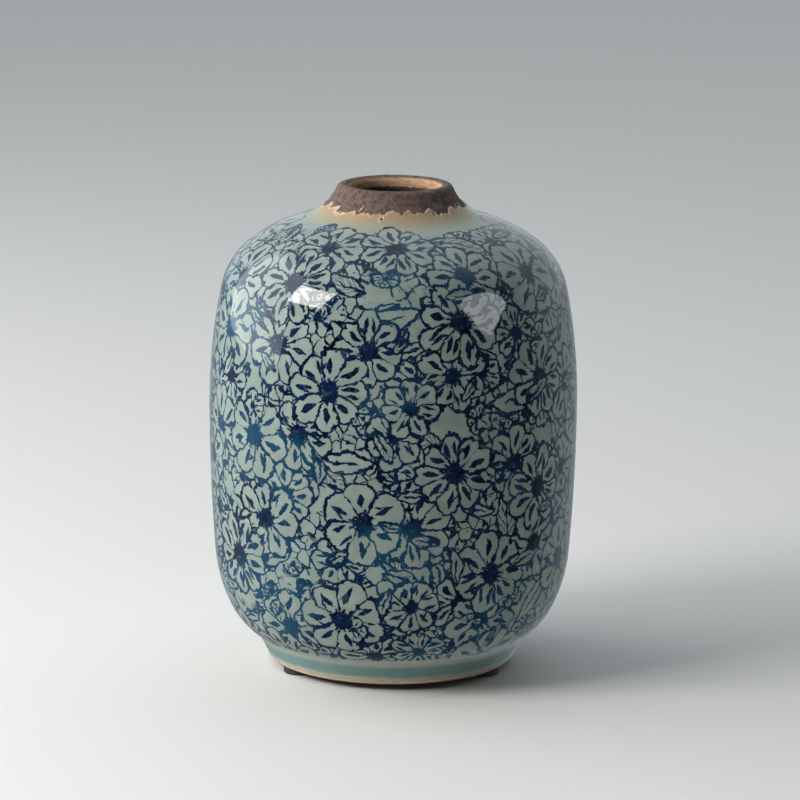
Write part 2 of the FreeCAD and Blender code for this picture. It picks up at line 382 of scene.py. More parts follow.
@dataclass(frozen=True)
class VaseWall:
    """The turned wall: a run of tangent arcs up and down from the widest point."""

    belly_radius: float = 0.0825
    belly_height: float = 0.1204
    upper: tuple[tuple[float, float], ...] = ((0.260, 11.5), (0.034, 55.0), (0.070, 74.5))
    lower: tuple[tuple[float, float], ...] = ((0.880, 4.4), (0.069, 25.5), (0.034, 57.0))
    neck_radius: float = 0.0235
    lip_radius: float = 0.0033
    throat_radius: float = 0.0198
    crease_radius: float = 0.0022
    foot_lean: float = 27.5
    foot_height: float = 0.003
    recess_radius: float = 0.038
    recess_height: float = 0.007
    recess_draft: float = 2.0
    recess_middle: float = 0.018
    edge: float = 0.0004
    wall: float = 0.006
    inner_neck_radius: float = 0.034
    floor_height: float = 0.01561
    floor_middle: float = 0.024
    glaze: float = 0.0005

    def chain(
        self, sizes: tuple[tuple[float, float], ...], way: int, thinner: float = 0.0
    ) -> list[WallArc]:
        """Follow a run of tangent arcs from the widest point.

        Args:
            sizes: each arc's radius and the tilt in degrees where it ends.
            way: +1 upwards, -1 downwards.
            thinner: how much smaller each radius is, for the cavity's wall.

        Returns:
            The arcs in order from the widest point.
        """
        arcs: list[WallArc] = []
        size, tilt = sizes[0][0], 0.0
        radius, height = self.belly_radius - size, self.belly_height
        for next_size, ends in sizes:
            radius += (size - next_size) * math.cos(tilt)
            height += (size - next_size) * math.sin(tilt)
            size = next_size
            arcs.append(WallArc(radius, height, size - thinner, tilt, math.radians(ends) * way))
            tilt = math.radians(ends) * way
        return arcs

    def hollow(self, before: WallArc, size: float, end: float) -> WallArc:
        """Return the hollow arc that carries on from a bulging one to a tilt in radians."""
        gap = before.size + size
        return WallArc(
            before.radius + gap * math.cos(before.end),
            before.height + gap * math.sin(before.end),
            size,
            before.end,
            end,
            -1,
        )

    def neck(self) -> WallArc:
        """Return the hollow arc from the crown up to the lip."""
        crown = self.chain(self.upper, 1)[-1]
        level = self.hollow(crown, self.neck_radius, 0.0)
        across = level.radius - self.throat_radius - self.lip_radius
        tilt = math.acos(across / (self.neck_radius + self.glaze + self.lip_radius))
        return self.hollow(crown, self.neck_radius, tilt)

    def lip(self) -> WallArc:
        """Return the rounded lip, from the neck over the top to the throat."""
        neck = self.neck()
        gap = neck.size + self.glaze + self.lip_radius
        return WallArc(
            neck.radius - gap * math.cos(neck.end),
            neck.height - gap * math.sin(neck.end),
            self.lip_radius,
            neck.end,
            math.pi,
        )

    def crease(self) -> WallArc:
        """Return the hollow arc between the foot and the wall above it."""
        turn = self.chain(self.lower, -1)[-1]
        return self.hollow(turn, self.crease_radius, -math.radians(self.foot_lean))

    def foot_cone(self, inset: float, step: float) -> np.ndarray:
        """Sample the foot's leaning side from the face it stands on up to the crease."""
        tilt = -math.radians(self.foot_lean)
        out = np.array([math.cos(tilt), math.sin(tilt)])
        crease = self.crease()
        top = np.array([crease.radius, crease.height]) - (crease.size + inset) * out
        rise = (top[1] - self.foot_height) / math.cos(tilt)
        low = top - rise * np.array([-math.sin(tilt), math.cos(tilt)])
        count = max(2, math.ceil(rise / step) + 1)
        return np.column_stack([np.linspace(low, top, count), np.tile(out, (count, 1))])

    def outside(self, step: float, inset: float) -> np.ndarray:
        """Sample the outside from the foot's face to the lip's foot.

        Args:
            step: the longest gap between points.
            inset: how far the points lie under the glazed surface.

        Returns:
            Rows of radius, height, and the normal's two parts, from the foot up.
        """
        rows = [self.foot_cone(inset, step)]
        downward = [self.crease()] + self.chain(self.lower, -1)[::-1]
        rows += [arc.points(step, inset)[::-1] for arc in downward]
        rows += [arc.points(step, inset) for arc in self.chain(self.upper, 1) + [self.neck()]]
        line = np.vstack(rows)
        keep = np.r_[True, np.hypot(*np.diff(line[:, :2], axis=0).T) > 1e-7]
        return line[keep]

    def inside(self, step: float) -> np.ndarray:
        """Sample the cavity from the throat to the middle of its floor, as radius and height."""
        crown = self.chain(self.upper, 1, self.wall)[-1]
        neck = self.hollow(crown, self.inner_neck_radius, 0.0)
        meets = math.acos((neck.radius - self.throat_radius) / self.inner_neck_radius)
        throat_foot = neck.height - self.inner_neck_radius * math.sin(meets)
        heights = np.linspace(self.lip().height, throat_foot, 5)
        rows = [np.column_stack([np.full(5, self.throat_radius), heights])]
        neck = WallArc(neck.radius, neck.height, neck.size, meets, crown.end, -1)
        rows.append(neck.points(step)[:, :2])
        rows += [arc.points(step)[::-1, :2] for arc in self.chain(self.upper, 1, self.wall)[::-1]]
        below = self.chain(self.lower, -1, self.wall)
        turn = below[-1]
        stop = -math.asin((turn.height - self.floor_height) / turn.size)
        below[-1] = WallArc(turn.radius, turn.height, turn.size, turn.start, stop)
        rows += [arc.points(step)[:, :2] for arc in below]
        rows.append(np.array([[self.floor_middle, self.floor_height], [0.0, self.floor_height]]))
        return tidy(np.vstack(rows))

    def underside(self, step: float) -> np.ndarray:
        """Sample the underside from the middle of the recess out to the foot's outer edge."""
        outer = self.foot_cone(self.glaze, step)[0][0]
        low, high, wide, soft = self.foot_height, self.recess_height, self.recess_radius, self.edge
        draft = (high - low) * math.tan(math.radians(self.recess_draft))
        return np.array(
            [
                [0.0, high],
                [self.recess_middle, high],
                [wide - draft - soft, high],
                [wide - draft, high - soft],
                [wide - soft * 0.2, low + soft],
                [wide + soft, low],
                [(wide + outer) / 2, low],
                [outer - soft, low],
            ]
        )


def tidy(line: np.ndarray) -> np.ndarray:
    """Return a line without points that repeat the one before."""
    keep = np.r_[True, np.hypot(*np.diff(line, axis=0).T) > 1e-6]
    return line[keep]


def thinned(line: np.ndarray, gap: np.ndarray) -> np.ndarray:
    """Pick points of a fine line so that neighbours lie about a given gap apart.

    Args:
        line: rows of radius and height, closely spaced.
        gap: the wanted gap at each row.

    Returns:
        The index of each picked row, the first and last among them.
    """
    run = np.r_[0, np.cumsum(np.hypot(*np.diff(line[:, :2], axis=0).T) / gap[1:])]
    wanted = np.linspace(0, run[-1], math.ceil(run[-1]) + 1)
    return np.unique(np.searchsorted(run, wanted).clip(0, len(line) - 1))


def turned(name: str, line: np.ndarray, columns: int) -> bpy.types.Object:
    """Turn a line about the upright axis, as on a wheel.

    Args:
        name: the piece's name.
        line: rows of radius and height.
        columns: how many steps the turn has.

    Returns:
        The turned piece, with smooth faces that point outwards.
    """
    bpy.ops.object.select_all(action="DESELECT")
    bpy.ops.mesh.primitive_plane_add(size=MM, location=(line[0][0], 0, line[0][1]))
    piece = bpy.context.object
    piece.name = piece.data.name = name
    bpy.ops.object.transform_apply(location=True, rotation=True, scale=True)
    bpy.ops.object.mode_set(mode="EDIT")
    bpy.ops.mesh.select_all(action="SELECT")
    bpy.ops.mesh.merge(type="CENTER")
    for run, rise in np.diff(line[:, :2], axis=0):
        bpy.ops.mesh.extrude_region_move(TRANSFORM_OT_translate={"value": (run, 0, rise)})
    bpy.ops.mesh.select_all(action="SELECT")
    bpy.ops.mesh.spin(steps=columns, angle=math.tau, center=(0, 0, 0), axis=(0, 0, 1))
    bpy.ops.mesh.select_all(action="SELECT")
    bpy.ops.mesh.remove_doubles(threshold=WELD)
    bpy.ops.mesh.normals_make_consistent(inside=False)
    bpy.ops.object.mode_set(mode="OBJECT")
    bpy.ops.object.shade_smooth()
    return piece


def points_of(piece: bpy.types.Object) -> np.ndarray:
    """Return a piece's vertices as rows of x, y, z."""
    flat = np.empty(len(piece.data.vertices) * 3, np.float32)
    piece.data.vertices.foreach_get("co", flat)
    return flat.reshape(-1, 3).astype(float)


def move_points(piece: bpy.types.Object, points: np.ndarray) -> None:
    """Give a piece's vertices new places."""
    piece.data.vertices.foreach_set("co", points.astype(np.float32).ravel())
    piece.data.update()


@dataclass(frozen=True)
class Ripple:
    """A wavy value round the vase that joins up with itself: a sum of seeded waves."""

    seed: int
    slowest: int
    fastest: int

    def __call__(self, angle: np.ndarray) -> np.ndarray:
        """Return the value at each angle, about -1 to 1."""
        rng = np.random.default_rng(self.seed)
        orders = np.arange(self.slowest, self.fastest + 1)
        phases = rng.uniform(0, math.tau, len(orders))
        heights = rng.normal(0, 1, len(orders)) / np.sqrt(len(orders))
        return (heights * np.cos(np.multiply.outer(angle, orders) + phases)).sum(-1)


# ---------------------------------------------------------------- the clay


@dataclass(frozen=True)
class BareClay:
    """Unglazed stoneware: dark brown and granular outside, orange at the top of the throat and on
    the foot. The throat's bore below its orange band keeps the dark brown, and the foot's lowest
    edge is darkened to near black; both darkenings are painted shade.

    Radii and heights are in millimetres, where a colour starts and where it is full.
    """

    dark: Colour = (0.040, 0.021, 0.016)
    brown: Colour = (0.135, 0.073, 0.053)
    grey: Colour = (0.25, 0.19, 0.16)
    rust: Colour = (0.165, 0.060, 0.033)
    orange: Colour = (0.47, 0.225, 0.095)
    sand: Colour = (0.54, 0.36, 0.225)
    # Painted shade colour for the foot's lowest edge and the face it stands on.
    painted_foot_shade: Colour = (0.030, 0.016, 0.010)
    pale_foot: Colour = (0.84, 0.64, 0.46)
    throat_radii: tuple[float, float] = (21.8, 20.7)
    throat_heights: tuple[float, float] = (214.6, 215.4)
    foot_heights: tuple[float, float] = (10.0, 9.0)
    # Heights where the painted shade under the foot starts and where it is full.
    painted_foot_shade_heights: tuple[float, float] = (3.35, 3.05)

    def made(self) -> Finish:
        """Return the finish."""
        made = Finish("bare_clay", Roughness=0.8)
        spot = place_mm(made.tree)
        x, y, z = split(spot)
        off_axis = (x * x + y * y).do("SQRT")
        grain = cloud(spot, 0.55, 2.0, 0.6)
        mottle = cloud(spot, 2.6, 3.0, 0.6)
        stain = cloud(spot, 7.0, 2.0)
        colour = blend(mottle.ramp(0.36, 0.60), self.dark, self.brown)
        colour = blend(stain.ramp(0.5, 0.72) * 0.6, colour, self.rust)
        colour = blend(grain.ramp(0.53, 0.74) * 0.75, colour, self.grey)
        pits = cells(spot, 1.3).ramp(0.30, 0.14)
        colour = blend(pits * mottle.ramp(0.62, 0.45) * 0.8, colour, self.dark)
        streak = cloud(joined(made.tree, x * 0.25, y * 0.25, z * 1.6), 1.1, 3.0)
        orange = blend(streak.ramp(0.35, 0.68), self.sand, self.orange)
        orange = blend(streak.ramp(0.60, 0.80) * 0.7, orange, self.rust)
        burnt = cloud(spot, 1.6, 2.0)
        # The orange is the clay's own colour. Cutting it off by height leaves the bore below it dark
        # brown, which is painted shade for the unlit depth of the throat.
        throat = (off_axis + burnt * 0.7).ramp(*self.throat_radii)
        throat = throat * (z + burnt * 1.6).ramp(*self.throat_heights)
        foot = (z + burnt * 2.0).ramp(*self.foot_heights)
        orange = blend(foot * 0.6, orange, self.pale_foot)
        colour = blend(throat.most(foot), colour, orange)
        # Painted shade: the foot's lowest edge and the face it stands on turn near black, as the
        # shadow under the raised foot.
        made.paint("Base Color", blend(z.ramp(*self.painted_foot_shade_heights), colour, self.painted_foot_shade))
        made.paint("Roughness", 0.92 - 0.28 * grain.ramp(0.45, 0.75))
        made.relief(grain * 0.6 + mottle * 0.5 - pits * 0.3, 0.00035, 0.9)
        return made


@dataclass
class ClayBody:
    """The fired clay: foot ring, wall, neck, lip, throat and cavity as one turned solid."""

    wall: VaseWall
    columns: int = 384
    fine: float = 0.0007
    coarse: float = 0.0035
    fine_above: float = 0.200
    fine_below: float = 0.016
    sampled: float = 0.0002
    uneven: float = 0.00014

    def line(self) -> np.ndarray:
        """Return the section from the recess round the outside and in to the cavity's floor."""
        outside = self.wall.outside(self.sampled, self.wall.glaze)
        lip = self.wall.lip().points(self.sampled)
        rows = tidy(np.vstack([outside[:, :2], lip[:, :2], self.wall.inside(self.sampled)]))
        at_ends = (rows[:, 1] > self.fine_above) | (rows[:, 1] < self.fine_below)
        gap = np.where(at_ends, self.fine, self.coarse)
        picked = rows[thinned(rows, gap)]
        return tidy(np.vstack([self.wall.underside(self.fine), picked]))

    def build(self) -> bpy.types.Object:
        """Return the piece, with the slight unevenness that a thrown neck has."""
        piece = turned("clay", self.line(), self.columns)
        move_points(piece, thrown(points_of(piece), self.uneven))
        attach(piece, "root")
        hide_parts("clay_body")
        return piece


def thrown(
    points: np.ndarray, depth: float, start: float = 0.206, over: float = 0.008
) -> np.ndarray:
    """Press points of the neck in and down by a little that varies round the vase.

    Args:
        points: rows of x, y, z.
        depth: the most a point moves.
        start: the height where the neck starts.
        over: how far above that the press is full.

    Returns:
        The moved points, all of them inside the ones that were given.
    """
    angle = np.arctan2(points[:, 1], points[:, 0])
    share = np.clip((points[:, 2] - start) / over, 0, 1)
    slow = 0.5 + 0.5 * np.clip(Ripple(5, 1, 5)(angle), -1, 1)
    quick = 0.5 + 0.5 * np.clip(Ripple(6, 9, 40)(angle), -1, 1)
    press = depth * share * (0.6 * slow + 0.4 * quick)
    away = np.hypot(points[:, 0], points[:, 1])
    shrink = 1 - np.where(away > 0.02, press * 0.7 / np.maximum(away, 1e-6), 0)
    return np.column_stack([points[:, 0] * shrink, points[:, 1] * shrink, points[:, 2] - press])


# ---------------------------------------------------------------- the print


class Motif(Enum):
    """What is drawn, as the whole part of its code. A daisy adds its number of petals."""

    LEAF = 1
    BUD = 20
    DAISY = 0


@dataclass(frozen=True)
class PrintLayer:
    """One layer of motifs that don't touch each other. A later layer covers an earlier one.

    Sizes are a motif's radius in millimetres. apart is how far the middles of daisies of
    different layers stay from each other, as a share of their radii added up.
    """

    name: str
    motifs: tuple[Motif, ...]
    largest: float
    smallest: float
    tries: int
    apart: float = 0.0
    petals: tuple[int, int] = (6, 9)


@dataclass(frozen=True)
class DaisyPrint:
    """Where the print's daisies, buds and leaves lie on the glaze, in millimetres.

    over_top and over_low are the shares of a motif's radius that stay under the print's top and
    that may hang below its foot.
    """

    seed: int = 2024
    clearance: float = 1.0
    top_height: float = 205.2
    low_height: float = 19.0
    over_top: float = 0.95
    over_low: float = 0.4
    layers: tuple[PrintLayer, ...] = (
        PrintLayer(
            "print_ground", (Motif.LEAF, Motif.DAISY, Motif.LEAF), 10.5, 4.5, 5200, petals=(5, 7)
        ),
        PrintLayer(
            "print_under", (Motif.DAISY, Motif.BUD, Motif.LEAF), 15.0, 6.0, 4500, petals=(5, 8)
        ),
        PrintLayer("print_middle", (Motif.DAISY,), 19.0, 9.0, 4200, 0.52, (6, 8)),
        PrintLayer("print_upper", (Motif.DAISY,), 20.5, 12.5, 2400, 0.60, (6, 9)),
        PrintLayer(
            "print_sprigs", (Motif.LEAF, Motif.BUD, Motif.LEAF), 9.0, 5.5, 150, 0.66, (5, 6)
        ),
    )

    def scatter(self, line: np.ndarray) -> dict[str, dict[str, np.ndarray]]:
        """Choose each layer's motifs.

        Args:
            line: rows of radius, height and normal of the glaze, in millimetres, from the foot up.

        Returns:
            Layer name to its motifs' centres, two axes along the surface, radii and codes.
        """
        rng = np.random.default_rng(self.seed)
        run = np.r_[0, np.cumsum(np.hypot(*np.diff(line[:, :2], axis=0).T))]
        share = np.cumsum(line[:, 0] * np.gradient(run))
        share = share / share[-1]
        top = np.interp(self.top_height, line[:, 1], run)
        low = np.interp(self.low_height, line[:, 1], run)
        daisies: list[tuple[np.ndarray, float]] = []
        chosen = {}
        for layer in reversed(self.layers):
            rows: list[tuple] = []
            for step in range(layer.tries):
                size = layer.largest + (layer.smallest - layer.largest) * step / layer.tries
                along = np.interp(rng.random(), share, run)
                angle = rng.uniform(0, math.tau)
                turn = rng.uniform(0, math.tau)
                kind = layer.motifs[rng.integers(len(layer.motifs))]
                petals = int(rng.integers(layer.petals[0], layer.petals[1] + 1))
                luck = rng.uniform(0.05, 0.95)
                if along + size * self.over_top > top or along < low - size * self.over_low:
                    continue
                radius, height, out, up = (np.interp(along, run, line[:, i]) for i in range(4))
                round_way = np.array([-math.sin(angle), math.cos(angle), 0])
                normal = np.array([out * math.cos(angle), out * math.sin(angle), up])
                centre = np.array([radius * math.cos(angle), radius * math.sin(angle), height])
                if self.crowded(centre, size, [(r[0], r[3]) for r in rows], 1.0, self.clearance):
                    continue
                if self.crowded(centre, size, daisies, layer.apart, 0.0):
                    continue
                other = np.cross(normal, round_way)
                first = round_way * math.cos(turn) + other * math.sin(turn)
                second = np.cross(normal, first)
                code = kind.value + (0 if kind is Motif.LEAF else petals) + luck
                rows.append((centre, first, second, size, code))
                if kind is Motif.DAISY and layer.apart:
                    daisies.append((centre, size))
            chosen[layer.name] = {
                key: np.array([r[i] for r in rows])
                for i, key in enumerate(("centre", "first", "second", "size", "code"))
            }
            LOG.info("%s: %d motifs", layer.name, len(rows))
        return chosen

    @staticmethod
    def crowded(
        centre: np.ndarray,
        size: float,
        others: list[tuple[np.ndarray, float]],
        share: float,
        gap: float,
    ) -> bool:
        """Say whether a motif would stand too near others.

        Args:
            centre: its middle.
            size: its radius.
            others: the others' middles and radii.
            share: how much of the radii added up the middles stay apart.
            gap: a further gap.

        Returns:
            True where one of the others is too near.
        """
        if not others:
            return False
        gaps = np.linalg.norm(np.array([c for c, _ in others]) - centre, axis=1)
        return bool((gaps < share * (size + np.array([s for _, s in others])) + gap).any())

    def lay_on(self, piece: bpy.types.Object, line: np.ndarray) -> None:
        """Write each layer's motifs on a piece, as one corner attribute for each layer.

        The attribute's parts are the corner's place in its nearest motif, along and across, in
        millimetres, then the motif's code and its radius.

        Args:
            piece: the glaze.
            line: rows of radius, height and normal of the glaze, in millimetres, from the foot up.
        """
        mesh = piece.data
        points = points_of(piece) / MM
        corners = np.empty(len(mesh.loops), np.int32)
        mesh.loops.foreach_get("vertex_index", corners)
        counts = np.empty(len(mesh.polygons), np.int32)
        mesh.polygons.foreach_get("loop_total", counts)
        middles = np.empty(len(mesh.polygons) * 3, np.float32)
        mesh.polygons.foreach_get("center", middles)
        middles = middles.reshape(-1, 3) / MM
        for name, motifs in self.scatter(line).items():
            nearest = np.empty(len(middles), int)
            for start in range(0, len(middles), BATCH):
                part = middles[start : start + BATCH]
                gaps = np.linalg.norm(part[:, None] - motifs["centre"][None], axis=2)
                nearest[start : start + BATCH] = (gaps - motifs["size"]).argmin(1)
            owner = np.repeat(nearest, counts)
            reach = points[corners] - motifs["centre"][owner]
            along = (reach * motifs["first"][owner]).sum(1)
            across = (reach * motifs["second"][owner]).sum(1)
            flat = np.maximum(np.hypot(along, across), 1e-6)
            stretch = np.linalg.norm(reach, axis=1) / flat
            rows = np.column_stack(
                [along * stretch, across * stretch, motifs["code"][owner], motifs["size"][owner]]
            )
            made = mesh.attributes.new(name, "FLOAT_COLOR", "CORNER")
            made.data.foreach_set("color", rows.astype(np.float32).ravel())


@dataclass(frozen=True)
class MotifShape:
    """A motif's proportions, as shares of its radius. A pair is a soft step's start and end."""

    near: tuple[float, float] = (1.12, 1.05)
    cover: tuple[float, float] = (0.72, 0.66)
    heart: tuple[float, float] = (0.26, 0.22)
    stamens: tuple[float, float] = (0.34, 0.28)
    bud_angle: tuple[float, float] = (1.55, 1.50)
    bud_heart: tuple[float, float] = (0.18, 0.14)
    border: tuple[float, float] = (0.80, 0.74)
    petal_start: float = 0.13
    petal_tip: float = 0.84
    petal_longer: float = 0.17
    petal_breadth: float = 0.70
    leaf_width: float = 0.30
    leaf_wider: float = 0.12


def motif_group(shape: MotifShape) -> Group:
    """Return the node group that draws one layer's motifs.

    Args:
        shape: the motifs' proportions.

    Returns:
        The group. Ink is how much ink there is, Cover where the motif hides what lies under it.
    """
    number, vector = "NodeSocketFloat", "NodeSocketVector"
    inputs = {"Place": vector, "Reach": number, "Waver X": number, "Waver Y": number}
    inputs |= {"Width": number, "Fleck": number, "Speck": number}
    group = Group("printed_motif", inputs, {"Ink": number, "Cover": number})
    tree = group.tree
    along, across, code = split(group.given("Place"))
    shift_x, shift_y = group.given("Waver X"), group.given("Waver Y")
    size, fleck = group.given("Reach"), group.given("Fleck")
    half = group.given("Width") * 0.5
    along, across = along + shift_x, across + shift_y
    code = code + shift_x * 1e-6

    def line_at(distance: Term, wide: Term) -> Term:
        """Return ink where a distance in millimetres is under half a line's width."""
        return distance.ramp(wide + 0.20, wide - 0.16)

    is_bud = code.above(Motif.BUD.value)
    is_leaf = 1 - code.above(Motif.LEAF.value + 1)
    own = code - is_bud * Motif.BUD.value
    petals = own.do("FLOOR").most(2.0)
    luck = own.do("FRACT")

    lx = along / size
    ly = (across / size + lx * lx * (luck - 0.5) * 0.3).do("ABSOLUTE")
    fat = shape.leaf_width + shape.leaf_wider * luck
    rim = fat * (1 - lx * lx)
    slope = (1 + 4.0 * fat * fat * lx * lx).do("SQRT")
    blade = (ly - rim) / slope * size
    ends = lx.do("ABSOLUTE").ramp(1.06, 1.0)
    in_blade = blade.ramp(0.1, -0.3) * ends
    vein = line_at(ly * size, half * (0.9 - 0.5 * lx)) * lx.ramp(0.55, 0.35)
    side = (((ly * 1.6 - lx + 0.1) * 3.4).do("FRACT") - 0.5).do("ABSOLUTE").ramp(0.13, 0.06)
    side = side * luck.above(0.55) * rim.ramp(0.1, 0.2)
    leaf = (line_at(blade.do("ABSOLUTE"), half) * ends).most(vein.most(side * 0.8) * in_blade)

    radius = (along * along + across * across).do("SQRT") / size
    angle = across.turned_from(along)
    heart = (radius + (fleck - 0.5) * 0.16).ramp(*shape.heart) * (1 - group.given("Speck") * 0.85)
    stamen = (angle * (petals + 2.0)).do("COSINE").ramp(0.3, 0.8)
    centre = heart.most(stamen * (radius + (fleck - 0.5) * 0.30).ramp(*shape.stamens))
    window = angle.do("ABSOLUTE").ramp(*shape.bud_angle).most(radius.ramp(*shape.bud_heart))
    window = (1 - is_bud) + is_bud * window

    sector = math.tau / petals
    index = (angle / sector).do("ROUND")
    wrapped = index - petals * ((index + 0.001) / petals).do("FLOOR")
    dice = tree.nodes.new("ShaderNodeTexWhiteNoise")
    dice.noise_dimensions = "1D"
    feed(dice.inputs["W"], (luck * 100.0).do("FLOOR") * 11.0 + wrapped.do("ROUND"))
    long, lean, split_dash = split_colour(Term(dice.outputs["Color"]))
    local = angle - index * sector + (lean - 0.5) * 0.10 * sector
    px, py = radius * local.do("COSINE"), radius * local.do("SINE")

    start = shape.petal_start
    tip = shape.petal_tip + shape.petal_longer * long
    middle, length = (tip + start) * 0.5, (tip - start) * 0.5
    breadth = (sector * 0.5).do("TANGENT") * (shape.petal_breadth + 0.05 * lean)
    notch = split_dash.above(0.72) * (0 - (py * py) * 260.0).do("EXPONENT") * 0.07
    fx = (px + notch - middle) / length
    fy = py / (0.66 + 0.5 * px) / breadth
    reach = (fx * fx + fy * fy).do("SQRT").most(0.02)
    steep = ((fx / length) * (fx / length) + (fy / breadth) * (fy / breadth)).do("SQRT") / reach
    edge = (reach - 1) / steep.most(0.3) * size
    inside = edge.ramp(0.1, -0.3)
    drawn = line_at(edge.do("ABSOLUTE"), half)
    border = (sector * 0.5 - local.do("ABSOLUTE")) * radius * size
    drawn = drawn.most(line_at(border, half * 0.8) * radius.ramp(*shape.border)).most(centre)

    pair = split_dash.above(0.45) * (1 - split_dash.above(0.72))
    off = py.towards(py.do("ABSOLUTE") - breadth * 0.36, pair) - (lean - 0.5) * 0.06
    off = (off + (px - middle) * (long - 0.5) * 0.35).do("ABSOLUTE")
    run = (px - middle - 0.05 * lean) / (0.17 + 0.08 * long)
    dash = (((1 - run * run) * (0.068 - 0.014 * pair) - off) * size).ramp(-0.16, 0.20)
    barb = line_at((off - 0.10 + 0.55 * (px - middle)).do("ABSOLUTE") * size, half * 0.75)
    barb = barb * px.ramp(middle - 0.13, middle - 0.08) * px.ramp(middle + 0.10, middle + 0.06)
    drawn = drawn.most(dash.most(barb * py.above(0.0) * lean.above(0.62)) * inside) * window
    cover = inside.most(radius.ramp(*shape.cover)) * window

    near = radius.ramp(*shape.near)
    group.give("Ink", drawn.towards(leaf, is_leaf) * near)
    group.give("Cover", cover.towards(in_blade, is_leaf) * near)
    return group


# ---------------------------------------------------------------- the glaze


@dataclass(frozen=True)
class Spots:
    """Oval spots at the glaze's edge, with the ranges of their places and half sizes in mm."""

    count: int
    rise: tuple[float, float]
    half_width: tuple[float, float]
    half_height: tuple[float, float]

    def reach(
        self, rng: np.random.Generator, angle: np.ndarray, rise: np.ndarray, away: float
    ) -> tuple[np.ndarray, float]:
        """Choose one spot.

        Args:
            rng: where the choice comes from.
            angle: round the vase, in radians.
            rise: along the wall from the plain edge, upwards.
            away: the neck's radius there.

        Returns:
            Each point's distance from the spot's middle, 1 on its rim, and its half width.
        """
        at, up = rng.uniform(0, math.tau), rng.uniform(*self.rise)
        wide, tall = rng.uniform(*self.half_width), rng.uniform(*self.half_height)
        gap = np.angle(np.exp(1j * (angle - at))) * away
        return np.hypot(gap / wide, (rise - up) / tall), wide


@dataclass(frozen=True)
class RaggedEdge:
    """Where the glaze stops on the neck: arches of glaze between hanging points of bare clay.

    Sizes are in millimetres along the wall, above the plain edge of the solid.
    """

    seed: int = 31
    low: tuple[float, float] = (-1.3, 0.9)
    arch: tuple[float, float] = (1.0, 3.4)
    arch_shares: tuple[float, ...] = (0.45, 1.0, 1.0)
    blunt: tuple[float, float] = (0.5, 1.1)
    pitch: tuple[float, float] = (0.13, 0.24)
    waver: float = 0.26
    islands: Spots = Spots(6, (2.2, 5.0), (0.45, 1.0), (0.8, 2.0))
    holes: Spots = Spots(6, (-2.2, 0.5), (0.2, 0.5), (0.3, 0.9))
    slant_angle: float = math.radians(218)
    slant_width: float = math.radians(32)
    slant: float = 1.1

    def inside(self, angle: np.ndarray, rise: np.ndarray, away: float) -> np.ndarray:
        """Return how far inside the glaze each point is, in millimetres, less than 0 where bare.

        Args:
            angle: round the vase, in radians.
            rise: along the wall from the plain edge, upwards, in millimetres.
            away: the neck's radius there, in millimetres.

        Returns:
            The distance along the wall.
        """
        rng = np.random.default_rng(self.seed)
        knots = [0.0]
        while knots[-1] < math.tau:
            knots.append(knots[-1] + rng.uniform(*self.pitch))
        knots = np.array(knots) * math.tau / knots[-1]
        low = rng.uniform(*self.low, len(knots))
        low[-1] = low[0]
        height = rng.uniform(*self.arch, len(knots)) * rng.choice(self.arch_shares, len(knots))
        blunt = rng.uniform(*self.blunt, len(knots))
        turn = np.angle(np.exp(1j * (angle - self.slant_angle)))
        slant = self.slant * np.exp(-((turn / self.slant_width) ** 2))
        swept = np.mod(angle - slant * rise / away, math.tau)
        span = np.clip(np.searchsorted(knots, swept, side="right") - 1, 0, len(knots) - 2)
        share = (swept - knots[span]) / (knots[span + 1] - knots[span])
        arch = height[span] * np.sin(math.pi * np.clip(share, 0, 1)) ** blunt[span]
        edge = low[span] * (1 - share) + low[span + 1] * share + arch
        depth = edge + self.waver * Ripple(7, 30, 90)(swept) - rise
        for _ in range(self.islands.count):
            reach, wide = self.islands.reach(rng, swept, rise, away)
            depth = np.maximum(depth, (1 - reach) * wide)
        for _ in range(self.holes.count):
            reach, wide = self.holes.reach(rng, swept, rise, away)
            depth = np.minimum(depth, (reach - 1) * wide * 2)
        return depth


